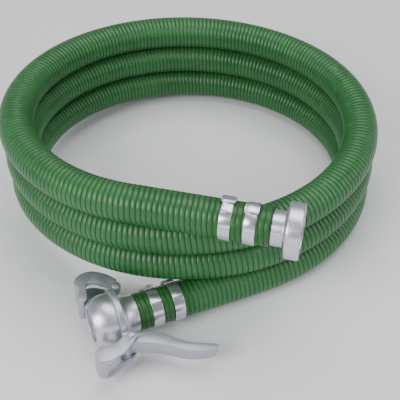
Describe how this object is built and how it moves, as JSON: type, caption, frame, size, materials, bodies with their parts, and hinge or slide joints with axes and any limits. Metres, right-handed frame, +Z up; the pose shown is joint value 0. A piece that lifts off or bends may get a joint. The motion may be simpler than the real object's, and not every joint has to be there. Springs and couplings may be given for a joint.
{
  "type": "suction hose",
  "caption": "Coiled ribbed suction hose with a lever-lock ball coupling, a cup half on one end and a ball half with claws and a lever on the other.",
  "frame": {"origin": "middle of the whole part's footprint, on the floor it lies on", "axes": "+Z up, -Y towards the side where both couplings leave the coil, +X to the right of a viewer who faces that side"},
  "size_m": [0.6672, 0.7608, 0.254],
  "materials": {
    "hose_pvc": "glossy ribbed",
    "coupling_steel": "satin galvanised",
    "band_steel": "bright stainless",
    "seal_rubber": "matt"
  },
  "bodies": {
    "hose_and_halves": {"hose": "hose_pvc", "cup_half": "coupling_steel", "seal_ring": "seal_rubber", "ball_half": "coupling_steel", "closure_ring": "coupling_steel", "lever_pin": "coupling_steel", "far_pin": "coupling_steel", "upper_inner_clamp_band": "band_steel", "upper_inner_clamp_buckle": "band_steel", "upper_outer_clamp_band": "band_steel", "upper_outer_clamp_buckle": "band_steel", "lower_inner_clamp_band": "band_steel", "lower_inner_clamp_buckle": "band_steel", "lower_outer_clamp_band": "band_steel", "lower_outer_clamp_buckle": "band_steel"},
    "lever": {"lever": "coupling_steel", "claw_pin": "coupling_steel"},
    "near_claw": {"near_claw": "coupling_steel"},
    "far_claw": {"far_claw": "coupling_steel"}
  },
  "joints": [
    {"name": "lever_swing", "type": "hinge", "parent": "hose_and_halves", "child": "lever", "pos_m": [-0.10789, -0.34076, 0.04779], "axis": [-0.0728, -0.0293, -0.9969], "range_deg": [0, 105]},
    {"name": "near_claw_swing", "type": "hinge", "parent": "lever", "child": "near_claw", "pos_m": [-0.09888, -0.3311, 0.04685], "axis": [-0.0728, -0.0293, -0.9969], "range_deg": [-105, 0]},
    {"name": "far_claw_swing", "type": "hinge", "parent": "hose_and_halves", "child": "far_claw", "pos_m": [-0.12862, -0.2385, 0.0463], "axis": [-0.0728, -0.0293, -0.9969], "range_deg": [0, 16]}
  ],
  "couplings": [
    {"joint": "near_claw_swing", "follows": "lever_swing", "ratio": -1}
  ]
}
